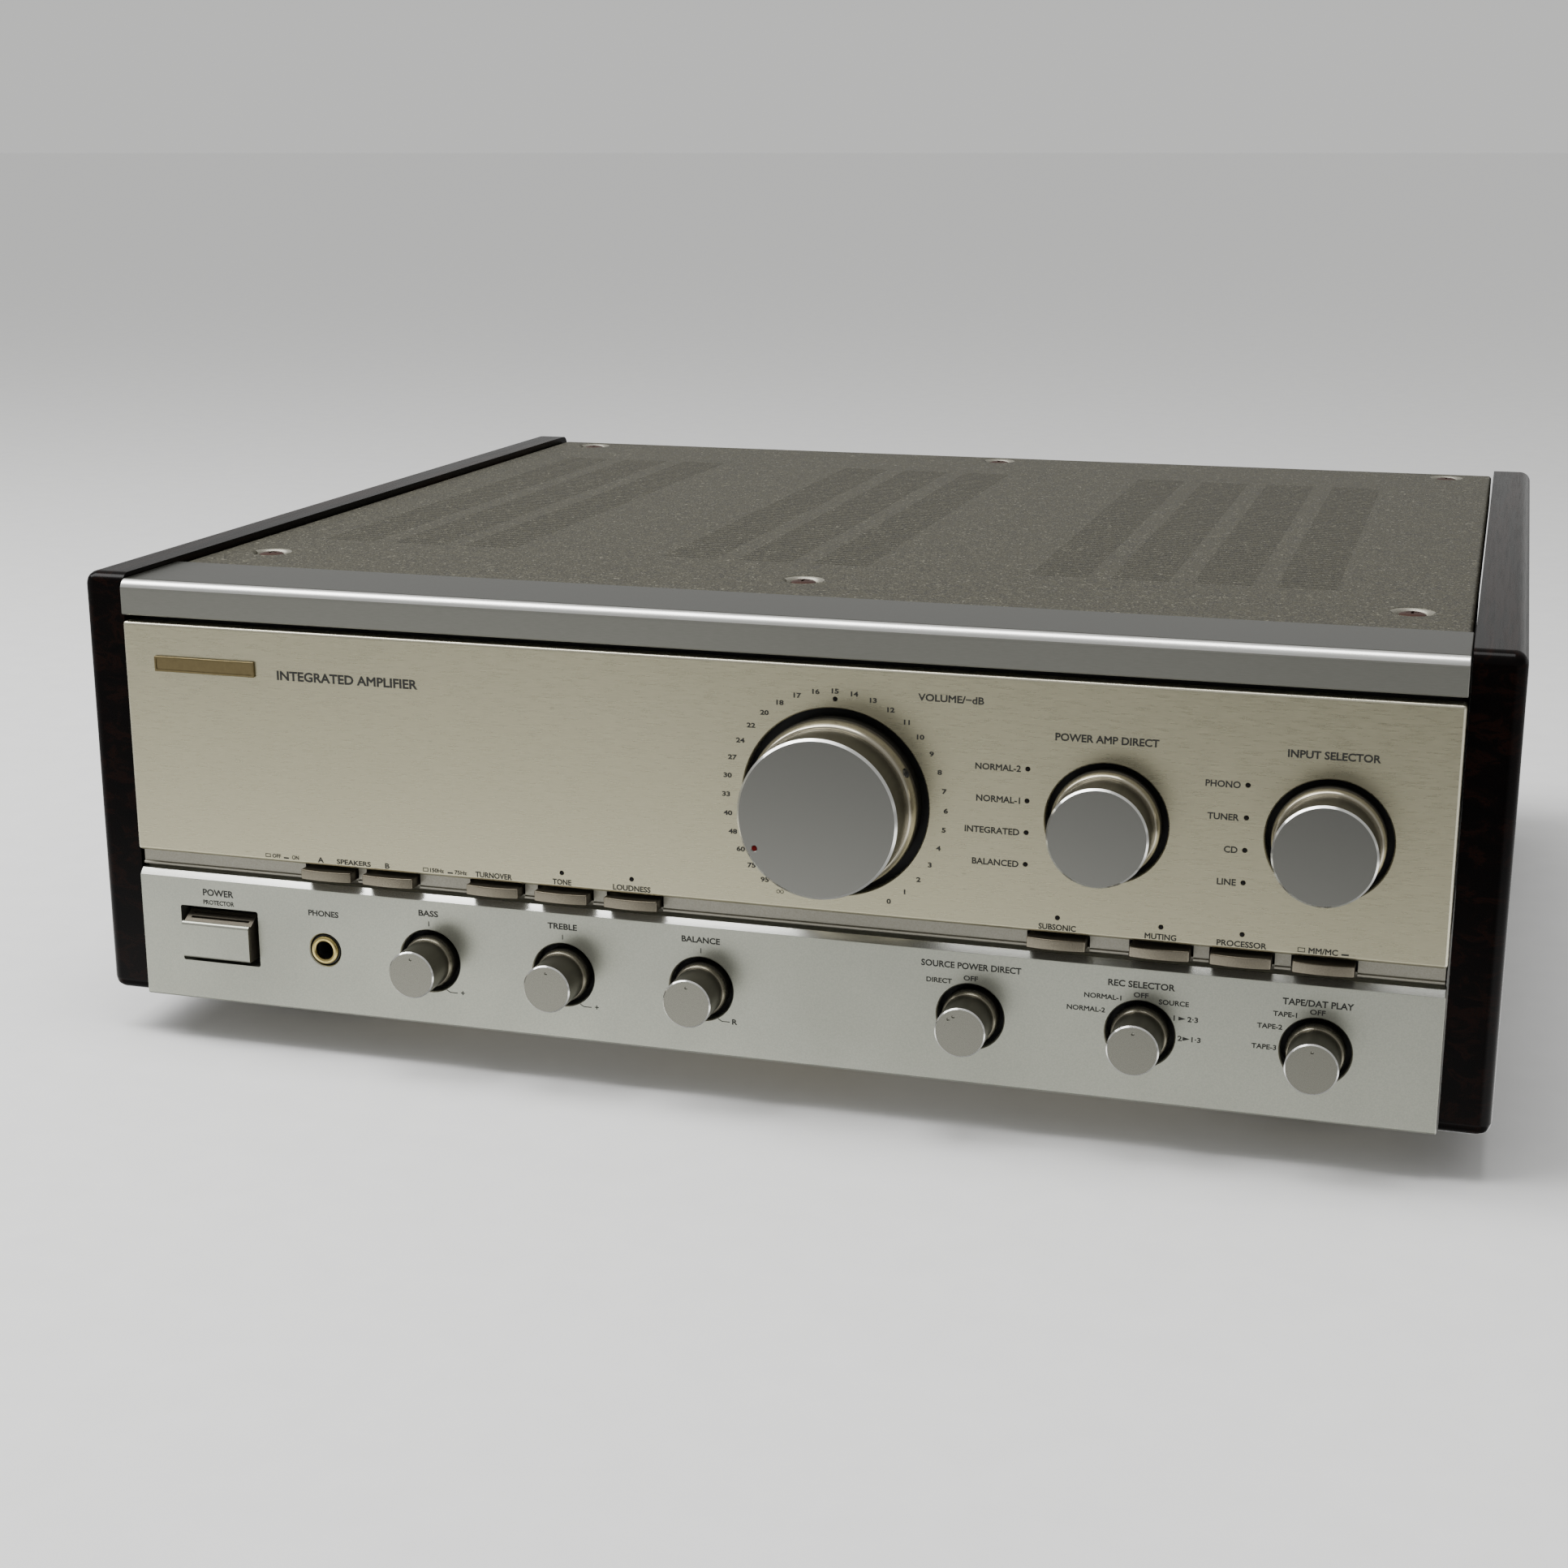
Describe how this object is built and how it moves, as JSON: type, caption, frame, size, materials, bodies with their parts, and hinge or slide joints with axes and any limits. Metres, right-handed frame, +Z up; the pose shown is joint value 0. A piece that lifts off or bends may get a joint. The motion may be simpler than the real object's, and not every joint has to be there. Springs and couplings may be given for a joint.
{
  "type": "integrated amplifier",
  "caption": "Integrated stereo amplifier with a gold and silver metal front, dark wood side panels, turning knobs, push buttons, vented top cover and rear connector blocks.",
  "frame": {"origin": "middle of the bounding box at the underside of the feet", "axes": "+Z up, the front panel faces -Y, +X to the right when seen from the front"},
  "size_m": [0.466, 0.44, 0.163],
  "materials": {
    "champagne_gold": "champagne anodised, fine horizontal brushing",
    "satin_silver": "silver anodised, fine satin bead blast",
    "brushed_trim": "horizontally brushed, clear anodised",
    "grey_strip": "fine matt grey anodised",
    "rosewood": "near-black rosewood under gloss lacquer",
    "flecked_paint": "taupe textured paint with a fine fleck",
    "knob_metal": "turned and anodised, bright chamfer",
    "small_knob_metal": "turned and anodised taupe",
    "button_metal": "taupe anodised with broken edges",
    "copper_plate": "copper-plated steel",
    "gold_plate": "gold plated",
    "zinc_steel": "zinc-plated sheet steel",
    "black_steel": "powder-coated black sheet steel",
    "black_plastic": "moulded black insulator",
    "circuit_board": "green-brown laminate",
    "plain_aluminium": "plain extruded",
    "capacitor_sleeve": "shrunk dark sleeve",
    "transformer_can": "black painted steel can",
    "foot_rubber": "moulded black"
  },
  "bodies": {
    "chassis": {"button_strip": "grey_strip", "chassis_base": "zinc_steel", "cord_gland": "black_plastic", "cover_screw_front_left": "copper_plate", "cover_screw_front_middle": "copper_plate", "cover_screw_front_right": "copper_plate", "cover_screw_rear_left": "copper_plate", "cover_screw_rear_middle": "copper_plate", "cover_screw_rear_right": "copper_plate", "direct_selector_switch": "zinc_steel", "foot_front_left": "foot_rubber", "foot_front_right": "foot_rubber", "foot_rear_left": "foot_rubber", "foot_rear_right": "foot_rubber", "front_subpanel": "black_steel", "headphone_socket": "gold_plate", "heat_sink_left": "plain_aluminium", "heat_sink_right": "plain_aluminium", "input_selector_switch": "zinc_steel", "lower_fascia": "satin_silver", "main_amplifier_board": "circuit_board", "mains_outlet_block": "black_plastic", "name_badge": "gold_plate", "phono_socket_block": "black_plastic", "power_transformer": "transformer_can", "push_switch_board_left": "circuit_board", "push_switch_board_right": "circuit_board", "rear_panel": "black_steel", "reservoir_capacitor_left": "capacitor_sleeve", "reservoir_capacitor_right": "capacitor_sleeve", "side_frame_left": "zinc_steel", "side_frame_right": "zinc_steel", "speaker_terminal_block": "black_plastic", "tape_selector_board": "circuit_board", "tone_control_board": "circuit_board", "top_cover": "flecked_paint", "top_trim": "brushed_trim", "upper_fascia": "champagne_gold", "volume_attenuator": "zinc_steel", "wood_panel_left": "rosewood", "wood_panel_right": "rosewood"},
    "volume_knob": {"volume_knob": "knob_metal"},
    "direct_selector_knob": {"direct_selector_knob": "knob_metal"},
    "input_selector_knob": {"input_selector_knob": "knob_metal"},
    "bass_knob": {"bass_knob": "small_knob_metal"},
    "treble_knob": {"treble_knob": "small_knob_metal"},
    "balance_knob": {"balance_knob": "small_knob_metal"},
    "source_direct_knob": {"source_direct_knob": "small_knob_metal"},
    "record_knob": {"record_knob": "small_knob_metal"},
    "tape_knob": {"tape_knob": "small_knob_metal"},
    "speaker_a_button": {"speaker_a_button": "button_metal"},
    "speaker_b_button": {"speaker_b_button": "button_metal"},
    "turnover_button": {"turnover_button": "button_metal"},
    "tone_button": {"tone_button": "button_metal"},
    "loudness_button": {"loudness_button": "button_metal"},
    "subsonic_button": {"subsonic_button": "button_metal"},
    "muting_button": {"muting_button": "button_metal"},
    "processor_button": {"processor_button": "button_metal"},
    "cartridge_button": {"cartridge_button": "button_metal"},
    "power_button": {"power_button": "satin_silver"}
  },
  "joints": [
    {"name": "volume_turn", "type": "hinge", "parent": "chassis", "child": "volume_knob", "pos_m": [0.0304, -0.1986, 0.1041], "axis": [0, 1, 0], "range_deg": [-30, 270]},
    {"name": "direct_selector_turn", "type": "hinge", "parent": "chassis", "child": "direct_selector_knob", "pos_m": [0.1152, -0.1986, 0.1041], "axis": [0, 1, 0], "range_deg": [-60, 30]},
    {"name": "input_selector_turn", "type": "hinge", "parent": "chassis", "child": "input_selector_knob", "pos_m": [0.181, -0.1986, 0.1041], "axis": [0, 1, 0], "range_deg": [-60, 30]},
    {"name": "bass_turn", "type": "hinge", "parent": "chassis", "child": "bass_knob", "pos_m": [-0.1093, -0.1986, 0.0381], "axis": [0, 1, 0], "range_deg": [-150, 150]},
    {"name": "treble_turn", "type": "hinge", "parent": "chassis", "child": "treble_knob", "pos_m": [-0.0616, -0.1986, 0.0381], "axis": [0, 1, 0], "range_deg": [-150, 150]},
    {"name": "balance_turn", "type": "hinge", "parent": "chassis", "child": "balance_knob", "pos_m": [-0.0139, -0.1986, 0.0381], "axis": [0, 1, 0], "range_deg": [-150, 150]},
    {"name": "source_direct_turn", "type": "hinge", "parent": "chassis", "child": "source_direct_knob", "pos_m": [0.0747, -0.1986, 0.0381], "axis": [0, 1, 0], "range_deg": [0, 30]},
    {"name": "record_turn", "type": "hinge", "parent": "chassis", "child": "record_knob", "pos_m": [0.1278, -0.1986, 0.0381], "axis": [0, 1, 0], "range_deg": [-60, 90]},
    {"name": "tape_turn", "type": "hinge", "parent": "chassis", "child": "tape_knob", "pos_m": [0.1807, -0.1986, 0.0381], "axis": [0, 1, 0], "range_deg": [-90, 0]},
    {"name": "speaker_a_press", "type": "slide", "parent": "chassis", "child": "speaker_a_button", "axis": [0, 1, 0], "range_m": [0, 0.003], "stiffness_N_per_m": 250, "springref_m": -0.002},
    {"name": "speaker_b_press", "type": "slide", "parent": "chassis", "child": "speaker_b_button", "axis": [0, 1, 0], "range_m": [0, 0.003], "stiffness_N_per_m": 250, "springref_m": -0.002},
    {"name": "turnover_press", "type": "slide", "parent": "chassis", "child": "turnover_button", "axis": [0, 1, 0], "range_m": [0, 0.003], "stiffness_N_per_m": 250, "springref_m": -0.002},
    {"name": "tone_press", "type": "slide", "parent": "chassis", "child": "tone_button", "axis": [0, 1, 0], "range_m": [0, 0.003], "stiffness_N_per_m": 250, "springref_m": -0.002},
    {"name": "loudness_press", "type": "slide", "parent": "chassis", "child": "loudness_button", "axis": [0, 1, 0], "range_m": [0, 0.003], "stiffness_N_per_m": 250, "springref_m": -0.002},
    {"name": "subsonic_press", "type": "slide", "parent": "chassis", "child": "subsonic_button", "axis": [0, 1, 0], "range_m": [0, 0.003], "stiffness_N_per_m": 250, "springref_m": -0.002},
    {"name": "muting_press", "type": "slide", "parent": "chassis", "child": "muting_button", "axis": [0, 1, 0], "range_m": [0, 0.003], "stiffness_N_per_m": 250, "springref_m": -0.002},
    {"name": "processor_press", "type": "slide", "parent": "chassis", "child": "processor_button", "axis": [0, 1, 0], "range_m": [0, 0.003], "stiffness_N_per_m": 250, "springref_m": -0.002},
    {"name": "cartridge_press", "type": "slide", "parent": "chassis", "child": "cartridge_button", "axis": [0, 1, 0], "range_m": [0, 0.003], "stiffness_N_per_m": 250, "springref_m": -0.002},
    {"name": "power_press", "type": "slide", "parent": "chassis", "child": "power_button", "axis": [0, 1, 0], "range_m": [0, 0.0035], "stiffness_N_per_m": 500, "springref_m": -0.002}
  ]
}
